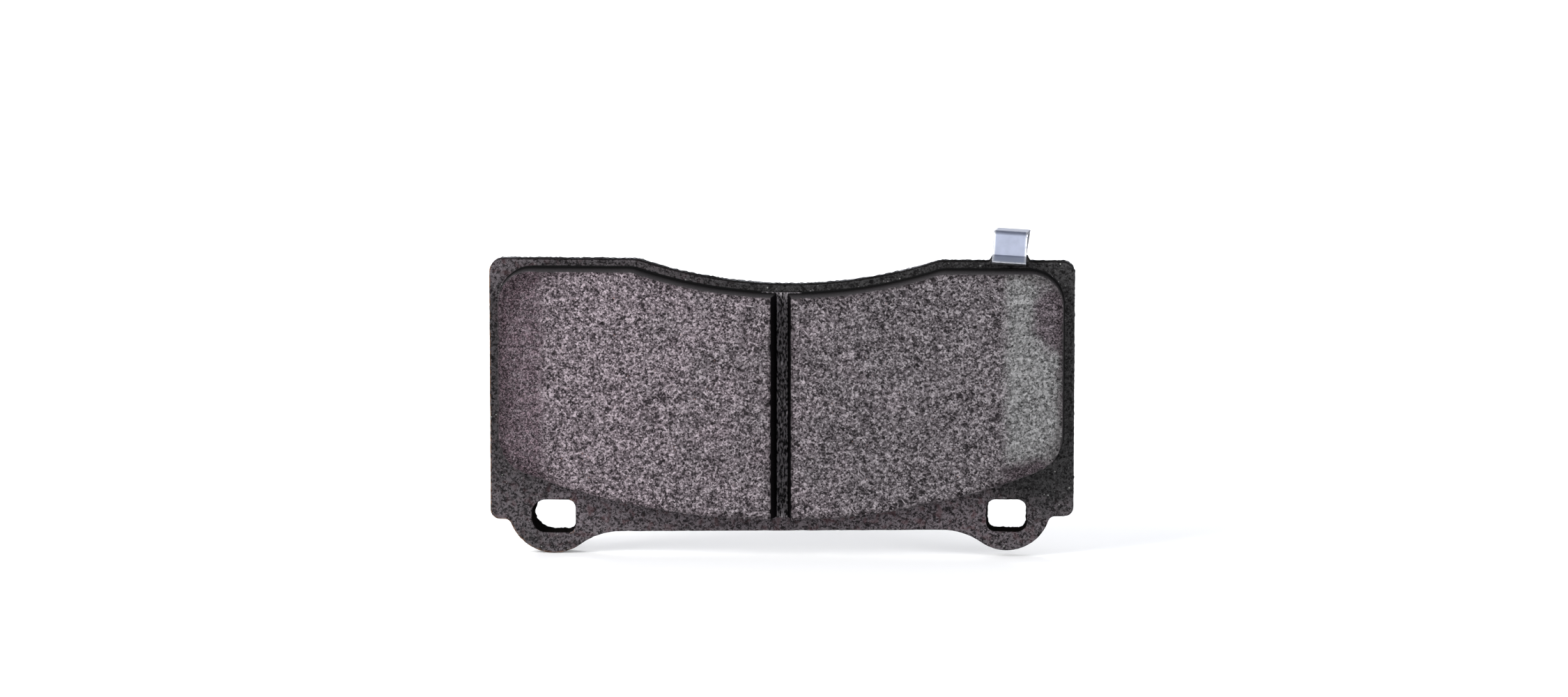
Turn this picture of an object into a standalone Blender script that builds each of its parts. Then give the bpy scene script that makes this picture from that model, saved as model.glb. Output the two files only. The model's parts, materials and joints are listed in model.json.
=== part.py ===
"""Disc brake pad for a four-piston caliper, as separate solids.

Metres, +Z up. The pad stands upright with its ears down: X runs along the pad, Y through its
thickness (the friction face looks towards -Y) and Z towards the disc's axis. The origin is the
middle of the line through the two ear slots, on the friction side of the backing plate.
"""

import math

import bmesh
import bpy
from mathutils import Vector

MM = 0.001
GAP = 0.3 * MM  # clearance between pieces that touch on the real pad

# Backing plate
PLATE_LENGTH = 151.0 * MM
PLATE_THICKNESS = 6.0 * MM
PLATE_TOP = 66.35 * MM  # height of the top flats above the slot line
PLATE_TOP_CORNER = 3.2 * MM
LEFT_FLAT = 36.75 * MM  # level top edge, from the plate's end to the concave part
RIGHT_FLAT = 33.35 * MM
PLATE_ARC_DIP = 6.3 * MM  # lowest point of the concave part below the top flats
PLATE_ARC_BLEND = 9.0 * MM
STEP_CORNER = 2.4 * MM
STEP_ROOT = 1.8 * MM
EAR_RISE = 2.3 * MM  # an ear's centre lies this far above its slot's centre
EAR_BLEND = 18.0 * MM
SLOT_TAPER = 0.3 * MM  # a punched slot is this much smaller all round at the back


class Ear:
    """One hanging ear: its slot and the plate's lower edge around it."""

    def __init__(self, side, shoulder, z, radius, step, edge, slot, flat_out, flat_in):
        self.z = z  # slot centre
        self.radius = radius  # rounded outer edge
        self.step = step  # height of the shoulder outside the ear
        self.edge = edge  # height of the plate's lower edge beside the ear
        self.slot = slot  # slot width and height
        self.corner_out = (slot[1] - flat_out) / 2  # slot corner radius towards the plate's end
        self.corner_in = (slot[1] - flat_in) / 2
        drop = z + EAR_RISE - (step - STEP_ROOT)
        reach = math.sqrt((radius + STEP_ROOT) ** 2 - drop ** 2)
        self.x = side * (PLATE_LENGTH / 2 - STEP_CORNER - shoulder - reach)


LEFT_EAR = Ear(side=-1, shoulder=1.25 * MM, z=-0.6 * MM, radius=11.9 * MM, step=-1.5 * MM,
               edge=-4.45 * MM, slot=(11.4 * MM, 8.6 * MM), flat_out=1.2 * MM, flat_in=4.2 * MM)
RIGHT_EAR = Ear(side=1, shoulder=2.34 * MM, z=0.5 * MM, radius=11.4 * MM, step=0.4 * MM,
                edge=-3.4 * MM, slot=(10.5 * MM, 8.35 * MM), flat_out=3.35 * MM, flat_in=3.35 * MM)

# Low raised lip on the plate's top edge, under the wear indicator
LIP_HEIGHT = 1.3 * MM
LIP_MARGIN = 0.25 * MM  # the lip's top is this much wider than the indicator on each side
LIP_FLARE = 0.6 * MM  # and its base this much wider again

# Friction material
PAD_THICKNESS = 10.0 * MM  # compound and underlayer together, from the plate's face
UNDERLAYER = 2.0 * MM
PAD_SIDE_BORDER = 2.5 * MM  # plate showing beside the compound
PAD_TOP_BORDER = 1.5 * MM
PAD_ARC_BORDER = 1.65 * MM
PAD_LOW = -0.1 * MM  # lowest point of the compound's outer arc
PAD_OUTER_RADIUS = 185.0 * MM
PAD_OUTER_X = -1.5 * MM
PAD_TOP_CORNER = 9.0 * MM
PAD_LOW_CORNER = 10.0 * MM
PAD_DRAFT = 0.5 * MM  # the compound is this much smaller all round at its face
GROOVE_X = 0.4 * MM
GROOVE_WIDTH = 5.1 * MM
GROOVE_FLOOR = 2.7 * MM
LEFT_LEAD_IN = 14.5 * MM  # sloped ends of the face, measured from the plate's ends
RIGHT_LEAD_IN = 17.0 * MM
LEAD_IN_DEPTH = 3.0 * MM

# Holes in the plate that the underlayer is moulded into
KEY_RADIUS = 4.0 * MM
INNER_KEY_X = 22.0 * MM  # inner holes to both sides of the middle
INNER_KEY_Z = 24.0 * MM
OUTER_KEY_DROP = 24.35 * MM  # outer holes below the top flats
LEFT_KEY_END = 29.5 * MM  # outer holes from the plate's ends
RIGHT_KEY_END = 31.5 * MM

# Shims on the back
SHIM_SIDE_BORDER = 5.0 * MM
SHIM_TOP_BORDER = 3.0 * MM
SHIM_LOW = 2.0 * MM
SHIM_CORNER = 6.0 * MM
INNER_SHIM = 0.5 * MM
OUTER_SHIM = 0.6 * MM
OUTER_SHIM_INSET = 1.0 * MM

# Shim rivets, which hold the inner shim; the outer shim is bonded to it
RIVET_END = 14.5 * MM  # from the plate's ends
RIVET_Z = 30.0 * MM
RIVET_RADIUS = 1.9 * MM
RIVET_HEAD_RADIUS = 3.6 * MM
RIVET_HEAD_HEIGHT = 1.1 * MM
RIVET_WINDOW = 0.8 * MM  # clearance around a rivet's head in the outer shim

# Wear indicator, a bent spring strip over the plate's top edge that leans a little to the right
STRIP_END = 16.8 * MM  # its middle, from the plate's right end
STRIP_WIDTH = 8.7 * MM
STRIP_THICKNESS = 0.9 * MM
STRIP_RISE = 8.1 * MM  # height of its arch above the plate's top flats
STRIP_BEND = 0.3 * MM  # inner bend radius
STRIP_LEAN = math.radians(3.4)
LEG_SKEW = math.radians(5.0)  # the rear leg runs this much further off upright
STRIP_LEG = 20.0 * MM  # rear leg below the plate's top flats
FOOT_REACH = 3.2 * MM  # how far the foot stands in front of the plate
FOOT_SLOPE = math.radians(36.0)
FOOT_CREASE = 0.35 * MM  # height of the crease above the plate's lip
LEG_RIVET_RISE = 8.0 * MM  # its rivet above the leg's end
LEG_RIVET_RADIUS = 2.0 * MM
LEG_RIVET_HEAD_RADIUS = 3.4 * MM
LEG_RIVET_HEAD_HEIGHT = 1.2 * MM
STRIP_CLEARANCE = 0.8 * MM  # shims are cut back this far around the leg

# A rivet head's dome, as shares of the head's radius and height
HEAD_CROWN = 0.55  # radius of the flat crown
HEAD_RIM = 0.35  # height of the straight rim
HEAD_SHOULDER = 0.8  # height half way between the rim and the crown

ROUND_STEPS = 40
ARC_STEPS = 32
CORNER_STEPS = 8

# Places that follow from the sizes above
DISC_AXIS_X = (LEFT_FLAT - RIGHT_FLAT) / 2
PLATE_ARC_HALF = (PLATE_LENGTH - LEFT_FLAT - RIGHT_FLAT) / 2
PLATE_ARC_RADIUS = (PLATE_ARC_HALF ** 2 + PLATE_ARC_DIP ** 2) / (2 * PLATE_ARC_DIP) - PLATE_ARC_BLEND
PLATE_ARC_LOW = PLATE_TOP - PLATE_ARC_DIP
RIVET_X = PLATE_LENGTH / 2 - RIVET_END
STRIP_X = PLATE_LENGTH / 2 - STRIP_END
CREASE_Z = PLATE_TOP + LIP_HEIGHT + FOOT_CREASE
KEY_PLACES = [(LEFT_KEY_END - PLATE_LENGTH / 2, PLATE_TOP - OUTER_KEY_DROP),
              (-INNER_KEY_X, INNER_KEY_Z), (INNER_KEY_X, INNER_KEY_Z),
              (PLATE_LENGTH / 2 - RIGHT_KEY_END, PLATE_TOP - OUTER_KEY_DROP)]


# ---------------------------------------------------------------- outlines

def arc(x, z, radius, start, end, steps):
    """Points on a circle from one angle to another, both in radians."""
    turns = [start + (end - start) * i / steps for i in range(steps + 1)]
    return [(x + radius * math.cos(a), z + radius * math.sin(a)) for a in turns]


def circle(x, z, radius, steps=ROUND_STEPS):
    return arc(x, z, radius, 0.0, 2 * math.pi, steps)[:-1]


def angle_to(centre, point):
    return math.atan2(point[1] - centre[1], point[0] - centre[0])


def blend(centre, radius, height, side, blend_radius):
    """Arc that joins a level line to a circle, from the line's end to the circle's.

    side is -1 or +1: the side of the circle on which the blend lies. The blend lies below the
    line and outside the circle. It returns the points and the angle at which it meets the circle.
    """
    z = height - blend_radius
    reach = radius + blend_radius
    x = centre[0] + side * math.sqrt(reach ** 2 - (centre[1] - z) ** 2)
    towards = angle_to((x, z), centre)
    points = arc(x, z, blend_radius, math.pi / 2, towards % (2 * math.pi), CORNER_STEPS)
    return points, angle_to(centre, (x, z))


def disc_edge(top, low, radius, blend_radius):
    """Concave edge around the disc's axis between two flats, from the right flat to the left."""
    centre = (DISC_AXIS_X, low + radius)
    right, right_angle = blend(centre, radius, top, 1, blend_radius)
    left, left_angle = blend(centre, radius, top, -1, blend_radius)
    middle = arc(*centre, radius, right_angle, left_angle, ARC_STEPS)
    return right + middle[1:-1] + left[::-1]


def ear_edge(ear):
    """Lower edge around an ear, from the plate's end to the edge between the ears."""
    side = math.copysign(1.0, ear.x)
    centre = (ear.x, ear.z + EAR_RISE)
    end = side * PLATE_LENGTH / 2
    corner_x = end - side * STEP_CORNER
    corner_from = 0.0 if side > 0 else math.pi
    corner = arc(corner_x, ear.step + STEP_CORNER, STEP_CORNER, corner_from,
                 -math.pi / 2 if side > 0 else 3 * math.pi / 2, CORNER_STEPS)
    root, root_angle = blend(centre, ear.radius, ear.step, side, STEP_ROOT)
    inner, inner_angle = blend(centre, ear.radius, ear.edge, -side, EAR_BLEND)
    if side < 0:
        root_angle %= 2 * math.pi
        inner_angle %= 2 * math.pi
    around = arc(*centre, ear.radius, root_angle, inner_angle, ARC_STEPS)
    return corner + root + around[1:-1] + inner[::-1]


def plate_outline():
    """The plate's outer edge, anticlockwise seen from the friction side."""
    end = PLATE_LENGTH / 2
    corner = PLATE_TOP_CORNER
    right_corner = arc(end - corner, PLATE_TOP - corner, corner, 0.0, math.pi / 2,
                       CORNER_STEPS)
    left_corner = arc(corner - end, PLATE_TOP - corner, corner, math.pi / 2, math.pi,
                      CORNER_STEPS)
    lip_top = STRIP_WIDTH / 2 + LIP_MARGIN
    lip = [(STRIP_X + lip_top + LIP_FLARE, PLATE_TOP), (STRIP_X + lip_top, PLATE_TOP + LIP_HEIGHT),
           (STRIP_X - lip_top, PLATE_TOP + LIP_HEIGHT), (STRIP_X - lip_top - LIP_FLARE, PLATE_TOP)]
    top = disc_edge(PLATE_TOP, PLATE_ARC_LOW, PLATE_ARC_RADIUS, PLATE_ARC_BLEND)
    return (right_corner + lip + top + left_corner + ear_edge(LEFT_EAR)
            + ear_edge(RIGHT_EAR)[::-1])


def slot_outline(ear, inset):
    """An ear's slot, made smaller all round by the inset, its two ends rounded by their own radii."""
    half_width, half_height = ear.slot[0] / 2 - inset, ear.slot[1] / 2 - inset
    left, right = ear.corner_out - inset, ear.corner_in - inset
    if ear.x > 0:
        left, right = right, left
    points = []
    for quarter, radius in enumerate((right, left, left, right)):
        across = (1, -1, -1, 1)[quarter]
        up = (1, 1, -1, -1)[quarter]
        x = ear.x + across * (half_width - radius)
        z = ear.z + up * (half_height - radius)
        start = quarter * math.pi / 2
        points += arc(x, z, radius, start, start + math.pi / 2, CORNER_STEPS)
    return points


def pad_outline(side, top, arc_low, arc_radius, low, outer_radius, corner_top, corner_low):
    """Outline between the concave inner arc and the convex outer arc of a pad or shim."""
    outer = (PAD_OUTER_X, low + outer_radius)
    points = []
    for across in (-1, 1):
        reach = outer_radius - corner_low
        x = across * (side - corner_low)
        z = outer[1] - math.sqrt(reach ** 2 - (x - outer[0]) ** 2)
        meets = angle_to(outer, (x, z)) % (2 * math.pi)
        end = math.pi if across < 0 else 2 * math.pi
        corner = arc(x, z, corner_low, end, meets, CORNER_STEPS)
        points.append((corner, meets))
    (left, left_angle), (right, right_angle) = points
    bottom = arc(*outer, outer_radius, left_angle, right_angle, ARC_STEPS)
    right_top = arc(side - corner_top, top - corner_top, corner_top, 0.0, math.pi / 2,
                    CORNER_STEPS)
    left_top = arc(corner_top - side, top - corner_top, corner_top, math.pi / 2, math.pi,
                   CORNER_STEPS)
    concave = disc_edge(top, arc_low, arc_radius, PLATE_ARC_BLEND)
    return right_top + concave + left_top + left + bottom[1:-1] + right[::-1]


def compound_outline(inset):
    """The friction material's outline, made smaller all round by the inset."""
    side = PLATE_LENGTH / 2 - PAD_SIDE_BORDER - inset
    border = PAD_ARC_BORDER + inset
    return pad_outline(side, PLATE_TOP - PAD_TOP_BORDER - inset, PLATE_ARC_LOW - border,
                       PLATE_ARC_RADIUS + border, PAD_LOW + inset, PAD_OUTER_RADIUS - inset,
                       PAD_TOP_CORNER - inset, PAD_LOW_CORNER - inset)


def shim_outline(inset):
    """A shim's outline, made smaller all round by the inset."""
    side = PLATE_LENGTH / 2 - SHIM_SIDE_BORDER - inset
    border = SHIM_TOP_BORDER + inset
    return pad_outline(side, PLATE_TOP - border, PLATE_ARC_LOW - border,
                       PLATE_ARC_RADIUS + border, SHIM_LOW + inset, PAD_OUTER_RADIUS - inset,
                       SHIM_CORNER, SHIM_CORNER)


def strip_path():
    """The wear indicator's centre line as (y, z), from the foot's tip over the arch to the leg's end."""
    half = STRIP_THICKNESS / 2
    bend = STRIP_BEND + half
    front = -GAP - half
    back = PLATE_THICKNESS + GAP + half
    top = PLATE_TOP + STRIP_RISE - half
    tip_z = CREASE_Z - (FOOT_REACH + front) * math.tan(FOOT_SLOPE)
    fold = math.pi / 2 - FOOT_SLOPE
    set_back = bend * math.tan(fold / 2)
    foot_bend = arc(front - bend, CREASE_Z + set_back, bend, -fold, 0.0, CORNER_STEPS)
    front_bend = arc(front + bend, top - bend, bend, math.pi, math.pi / 2, CORNER_STEPS)
    back_bend = arc(back - bend, top - bend, bend, math.pi / 2, 0.0, CORNER_STEPS)
    return ([(-FOOT_REACH, tip_z)] + foot_bend + front_bend + back_bend
            + [(back, PLATE_TOP - STRIP_LEG)])


# ---------------------------------------------------------------- solids

def keep(name, mesh_maker):
    """Turns a finished bmesh into an object in the scene."""
    bmesh.ops.recalc_face_normals(mesh_maker, faces=mesh_maker.faces)
    mesh = bpy.data.meshes.new(name)
    mesh_maker.to_mesh(mesh)
    mesh_maker.free()
    piece = bpy.data.objects.new(name, mesh)
    bpy.context.scene.collection.objects.link(piece)
    return piece


def loft(name, sections):
    """Solid through sections, each an equally long list of 3-D points, with flat ends."""
    build = bmesh.new()
    rings = [[build.verts.new(point) for point in section] for section in sections]
    for near, far in zip(rings, rings[1:]):
        for i in range(len(near)):
            j = (i + 1) % len(near)
            build.faces.new((near[i], near[j], far[j], far[i]))
    build.faces.new(rings[0][::-1])
    build.faces.new(rings[-1])
    return keep(name, build)


def plate_solid(name, outline, y_front, y_back, back_outline=None):
    """An outline in X and Z carried through the thickness."""
    back_outline = back_outline or outline
    return loft(name, [[(x, y_front, z) for x, z in outline],
                       [(x, y_back, z) for x, z in back_outline]])


def turned(name, x, z, profile):
    """Round solid on an axis along Y, from (radius, y) pairs that start and end off the axis."""
    return loft(name, [[(px, y, pz) for px, pz in circle(x, z, radius)] for radius, y in profile])


def combine(piece, other, operation):
    """Cuts, joins or intersects with another object, which then stays as a hidden guide."""
    change = piece.modifiers.new(operation.lower(), "BOOLEAN")
    change.operation = operation
    change.solver = "EXACT"
    change.object = other
    other.hide_render = True
    other.display_type = "WIRE"


def finish(piece, colour, roughness, metallic):
    """Gives a piece its own material and shades its round faces smooth."""
    material = bpy.data.materials.new(piece.name + "_finish")
    material.use_nodes = True
    shader = material.node_tree.nodes["Principled BSDF"]
    shader.inputs["Base Color"].default_value = (*colour, 1.0)
    shader.inputs["Roughness"].default_value = roughness
    shader.inputs["Metallic"].default_value = metallic
    piece.data.materials.append(material)
    piece.data.shade_smooth()
    piece.data.set_sharp_from_angle(angle=math.radians(30))


# ---------------------------------------------------------------- pieces

def lean(point):
    """Turns a point of the strip about the middle of its crease and skews the strip at the back."""
    at_back = min(max(point.y / PLATE_THICKNESS, 0.0), 1.0)
    z = point.z - CREASE_Z
    x = point.x - STRIP_X + z * math.tan(LEG_SKEW) * at_back
    across = x * math.cos(STRIP_LEAN) + z * math.sin(STRIP_LEAN)
    up = z * math.cos(STRIP_LEAN) - x * math.sin(STRIP_LEAN)
    return Vector((STRIP_X + across, point.y, CREASE_Z + up))


def leg_rivet_centre():
    """Where the wear indicator's rivet goes through its leaning leg."""
    return lean(Vector((STRIP_X, PLATE_THICKNESS, PLATE_TOP - STRIP_LEG + LEG_RIVET_RISE)))


def make_backing_plate():
    plate = plate_solid("backing_plate", plate_outline(), 0.0, PLATE_THICKNESS)
    past = PLATE_THICKNESS  # cutters run this far past the plate's faces, the slots' half as far
    for name, ear in (("left", LEFT_EAR), ("right", RIGHT_EAR)):
        wide, narrow = slot_outline(ear, -SLOT_TAPER / 2), slot_outline(ear, 1.5 * SLOT_TAPER)
        cutter = plate_solid(name + "_slot_cutter", wide, -past / 2, 1.5 * past, narrow)
        combine(plate, cutter, "DIFFERENCE")
    leg = leg_rivet_centre()
    holes = [(x, z, KEY_RADIUS + GAP) for x, z in KEY_PLACES]
    holes += [(x, RIVET_Z, RIVET_RADIUS + GAP) for x in (-RIVET_X, RIVET_X)]
    holes.append((leg.x, leg.z, LEG_RIVET_RADIUS + GAP))
    for x, z, radius in holes:
        cutter = turned("plate_hole_cutter", x, z, [(radius, -past), (radius, 2 * past)])
        combine(plate, cutter, "DIFFERENCE")
    finish(plate, (0.045, 0.042, 0.045), 0.6, 0.3)


def make_underlayer():
    """Thin layer under the compound, keyed into the plate's holes."""
    layer = plate_solid("underlayer", compound_outline(0.0), -UNDERLAYER, -GAP)
    for x, z in KEY_PLACES:
        key = turned("key_guide", x, z, [(KEY_RADIUS, -UNDERLAYER / 2),
                                         (KEY_RADIUS, PLATE_THICKNESS - GAP)])
        combine(layer, key, "UNION")
    finish(layer, (0.02, 0.018, 0.02), 0.9, 0.0)


def make_friction_block(name, side, lead_in):
    """One half of the compound: the drafted outline kept inside a side view of its face."""
    face, root = -PAD_THICKNESS, -UNDERLAYER - GAP
    block = plate_solid(name, compound_outline(PAD_DRAFT), face, root,
                        compound_outline(PAD_DRAFT * UNDERLAYER / PAD_THICKNESS))
    end = side * PLATE_LENGTH / 2
    slope_start = end - side * lead_in
    wall = GROOVE_X + side * GROOVE_WIDTH / 2
    wall_root = GROOVE_X + side * GROOVE_FLOOR / 2
    past = GAP  # the guide runs this far past the block's faces
    taper = (wall - wall_root) / (root - face)
    view = [(wall + taper * past, face - past), (slope_start, face - past), (slope_start, face),
            (end, face + LEAD_IN_DEPTH), (end, root + past), (wall_root - taper * past, root + past)]
    low, high = -PLATE_TOP, 2 * PLATE_TOP
    guide = loft(name + "_guide", [[(x, y, low) for x, y in view], [(x, y, high) for x, y in view]])
    combine(block, guide, "INTERSECT")
    finish(block, (0.13, 0.115, 0.12), 0.85, 0.1)


def make_shim(name, thickness, front, inset, hole_radius):
    """A shim with holes for the shim rivets and a notch around the indicator's leg."""
    shim = plate_solid(name, shim_outline(inset), front, front + thickness)
    past = PLATE_THICKNESS
    for x in (-RIVET_X, RIVET_X):
        cutter = turned(name + "_hole_cutter", x, RIVET_Z, [(hole_radius, front - past),
                                                           (hole_radius, front + past)])
        combine(shim, cutter, "DIFFERENCE")
    half = STRIP_WIDTH / 2 + STRIP_CLEARANCE + inset
    low = PLATE_TOP - STRIP_LEG - STRIP_CLEARANCE - inset
    high = PLATE_TOP + STRIP_RISE
    corners = [(STRIP_X - half, low), (STRIP_X + half, low),
               (STRIP_X + half, high), (STRIP_X - half, high)]
    leaning = [lean(Vector((x, front, z))) for x, z in corners]
    notch = plate_solid(name + "_notch_cutter", [(p.x, p.z) for p in leaning],
                        front - past, front + past)
    combine(shim, notch, "DIFFERENCE")
    return shim


def make_shims():
    inner_front = PLATE_THICKNESS + GAP
    inner_back = inner_front + INNER_SHIM
    inner = make_shim("inner_shim", INNER_SHIM, inner_front, 0.0, RIVET_RADIUS + GAP)
    finish(inner, (0.02, 0.02, 0.022), 0.7, 0.0)
    outer = make_shim("outer_shim", OUTER_SHIM, inner_back + GAP, OUTER_SHIM_INSET,
                      RIVET_HEAD_RADIUS + RIVET_WINDOW)
    finish(outer, (0.55, 0.55, 0.57), 0.35, 1.0)
    for name, x in (("shim_rivet_left", -RIVET_X), ("shim_rivet_right", RIVET_X)):
        make_rivet(name, x, RIVET_Z, RIVET_RADIUS, RIVET_HEAD_RADIUS, RIVET_HEAD_HEIGHT, inner_back)


def make_rivet(name, x, z, radius, head_radius, head_height, seat):
    """Rivet with its shank in the plate and a domed head on a face of the given Y."""
    under_head = seat + GAP
    profile = [(radius, GAP), (radius, under_head), (head_radius, under_head),
               (head_radius, under_head + HEAD_RIM * head_height),
               (head_radius * (1 + HEAD_CROWN) / 2, under_head + HEAD_SHOULDER * head_height),
               (head_radius * HEAD_CROWN, under_head + head_height)]
    rivet = turned(name, x, z, profile)
    finish(rivet, (0.5, 0.49, 0.48), 0.4, 1.0)


def make_wear_indicator():
    """The bent strip and its rivet. The strip's path is thickened by half to each side."""
    path = [Vector((y, z)) for y, z in strip_path()]
    outer, inner = [], []
    for i, point in enumerate(path):
        before = path[max(i - 1, 0)]
        after = path[min(i + 1, len(path) - 1)]
        arriving = (point - before).normalized() if i else (after - point).normalized()
        leaving = (after - point).normalized() if i < len(path) - 1 else arriving
        along = (arriving + leaving).normalized()
        normal = Vector((-along.y, along.x))
        width = STRIP_THICKNESS / 2 / max(along.dot(leaving), 0.5)
        outer.append(point + normal * width)
        inner.append(point - normal * width)
    edge = outer + inner[::-1]
    half = STRIP_WIDTH / 2
    sides = [[lean(Vector((STRIP_X + across, p.x, p.y))) for p in edge] for across in (-half, half)]
    strip = loft("wear_indicator", sides)
    leg = leg_rivet_centre()
    radius = LEG_RIVET_RADIUS + GAP
    cutter = turned("leg_hole_cutter", leg.x, leg.z, [(radius, PLATE_THICKNESS / 2),
                                                      (radius, 2 * PLATE_THICKNESS)])
    combine(strip, cutter, "DIFFERENCE")
    finish(strip, (0.5, 0.53, 0.6), 0.3, 1.0)
    leg_back = PLATE_THICKNESS + GAP + STRIP_THICKNESS
    make_rivet("wear_indicator_rivet", leg.x, leg.z, LEG_RIVET_RADIUS, LEG_RIVET_HEAD_RADIUS,
               LEG_RIVET_HEAD_HEIGHT, leg_back)


def main():
    for old in list(bpy.data.objects):
        bpy.data.objects.remove(old)
    make_backing_plate()
    make_underlayer()
    make_friction_block("friction_block_left", -1, LEFT_LEAD_IN)
    make_friction_block("friction_block_right", 1, RIGHT_LEAD_IN)
    make_shims()
    make_wear_indicator()


main()
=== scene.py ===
"""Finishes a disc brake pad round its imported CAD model.

Every piece starts as a copy of its CAD solid: the edges are rounded, the faces are cut into a fine
grid, and the grid is worn, pitted or torn as the real surface is. Metres, +Z up, in the CAD frame.
"""

import json
import math
from types import SimpleNamespace

import bmesh
import bpy
import numpy as np
from bpy.props import FloatProperty, FloatVectorProperty, PointerProperty
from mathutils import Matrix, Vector, noise
from mathutils.kdtree import KDTree


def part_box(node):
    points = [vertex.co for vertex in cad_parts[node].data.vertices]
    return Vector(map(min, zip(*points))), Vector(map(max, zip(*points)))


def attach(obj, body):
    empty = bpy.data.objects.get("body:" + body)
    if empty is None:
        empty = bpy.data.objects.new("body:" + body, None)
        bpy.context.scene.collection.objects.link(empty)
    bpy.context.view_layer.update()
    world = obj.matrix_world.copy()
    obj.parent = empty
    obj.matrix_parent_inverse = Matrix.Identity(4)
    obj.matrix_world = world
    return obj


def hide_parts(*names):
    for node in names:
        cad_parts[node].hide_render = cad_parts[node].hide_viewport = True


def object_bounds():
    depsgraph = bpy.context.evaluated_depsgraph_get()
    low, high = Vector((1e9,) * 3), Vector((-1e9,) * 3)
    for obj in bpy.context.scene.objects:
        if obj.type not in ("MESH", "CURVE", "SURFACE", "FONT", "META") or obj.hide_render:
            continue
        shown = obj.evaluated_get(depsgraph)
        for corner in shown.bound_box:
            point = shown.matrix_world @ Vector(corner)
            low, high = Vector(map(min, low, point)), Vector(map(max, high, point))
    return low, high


bl_info = {
    "name": "Disc Brake Pad",
    "version": (1, 0, 0),
    "blender": (4, 5, 0),
    "location": "3D View > Sidebar > Brake Pad",
    "description": "Finished pieces of a disc brake pad, with a studio stage",
    "category": "Object",
}

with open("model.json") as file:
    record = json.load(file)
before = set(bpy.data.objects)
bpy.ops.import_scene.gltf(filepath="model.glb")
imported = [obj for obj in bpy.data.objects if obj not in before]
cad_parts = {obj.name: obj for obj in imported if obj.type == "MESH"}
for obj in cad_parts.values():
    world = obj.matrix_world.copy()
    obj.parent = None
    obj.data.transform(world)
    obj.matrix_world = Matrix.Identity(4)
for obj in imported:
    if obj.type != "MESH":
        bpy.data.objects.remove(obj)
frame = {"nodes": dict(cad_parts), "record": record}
CAD_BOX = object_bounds()

MM = 0.001
PLATE_LOW, PLATE_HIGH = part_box("backing_plate")
FACE_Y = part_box("friction_block_left")[0].y
GROOVE_X = (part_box("friction_block_left")[1].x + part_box("friction_block_right")[0].x) / 2
PIN_SLOTS = [[Vector(corner) for corner in opening["box_m"]]
             for opening in frame["record"]["physics"]["openings"]]

# How far each worn zone of the friction face reaches in from the plate's end: the first number is
# where the zone begins to fade in, the second where it is full.
DULL_LEFT = (15.6 * MM, 13.2 * MM)
GLAZED_RIGHT = (18.9 * MM, 15.9 * MM)
GREY_LEFT = (25 * MM, 17 * MM)
CORNER_GRIME = (15 * MM, 6 * MM)
FULL_EDGE_GRIME = 0.2 * MM  # grime along the face's edges is full this close to them

# The burnt spot on the right lead-in: its middle from the plate's end and up, and its half sizes.
BURNT_DEPTH, BURNT_HEIGHT = 6 * MM, 53 * MM
BURNT_HALF_WIDTH, BURNT_HALF_HEIGHT = 5 * MM, 9 * MM

# Colours that no setting covers, as linear red, green and blue.
COPPER = (0.38, 0.22, 0.17)
RUST = (0.24, 0.12, 0.055)
SHADE = (0.003, 0.003, 0.003)
# near black: the bonding layer's dark base, and painted shade on the groove's walls
NEAR_BLACK_AND_SHADE = (0.004, 0.0035, 0.004)

FIRM_ROOT = 0.4 * MM  # the blocks' roots keep their CAD shape over this depth
HIDDEN_STEP = 4 * MM  # grid cell where a piece is covered by another

# Softboxes: name, place, size in metres and power in watts.
SOFTBOXES = (("left_softbox", (-1.5, -1.1, 1.0), (1.2, 1.0), 46.0),
             ("right_softbox", (1.5, -1.3, 0.8), (1.2, 1.0), 25.0),
             ("back_softbox", (-0.9, 1.5, 1.1), (1.2, 0.9), 24.0))
LIGHT_TARGET = (0.0, 0.0, 0.03)
FLOOR_GAP = 0.13 * MM  # the floor lies this far under the ears, clear of their roughness
FLOOR_FADE = (0.9, 2.2)  # distances between which the floor's glow rises to replace the lamps
AIM_RIGHT, AIM_ABOVE = 0.72 * MM, 12.52 * MM  # where the lens points, from the plate's middle


# ---------------------------------------------------------------- settings

class PadSizes(bpy.types.PropertyGroup):
    """Sizes of the surface detail."""

    spacing: FloatProperty(
        name="Mesh spacing", description="Width of a grid cell on a surface that shows",
        default=0.42 * MM, min=0.2 * MM, max=3 * MM, unit="LENGTH", subtype="DISTANCE", precision=5)
    edge_round: FloatProperty(
        name="Edge rounding", description="Rounding of the plate's and the compound's edges",
        default=0.3 * MM, min=0.05 * MM, max=1 * MM, unit="LENGTH", subtype="DISTANCE", precision=5)
    pit_depth: FloatProperty(
        name="Pit depth", description="Depth of the deepest pits in the compound's ground face",
        default=0.42 * MM, min=0.0, max=1 * MM, unit="LENGTH", subtype="DISTANCE", precision=5)
    chip_depth: FloatProperty(
        name="Chip depth", description="Depth of the chips along the compound's edges",
        default=0.5 * MM, min=0.0, max=1.5 * MM, unit="LENGTH", subtype="DISTANCE", precision=5)
    tear_depth: FloatProperty(
        name="Tear depth", description="Roughness of the sheared band on the plate's edges",
        default=0.22 * MM, min=0.0, max=1 * MM, unit="LENGTH", subtype="DISTANCE", precision=5)


def colour_property(name, description, default):
    """A colour setting, as linear red, green and blue."""
    return FloatVectorProperty(name=name, description=description, default=default,
                               subtype="COLOR", size=3, min=0.0, max=1.0)


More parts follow.
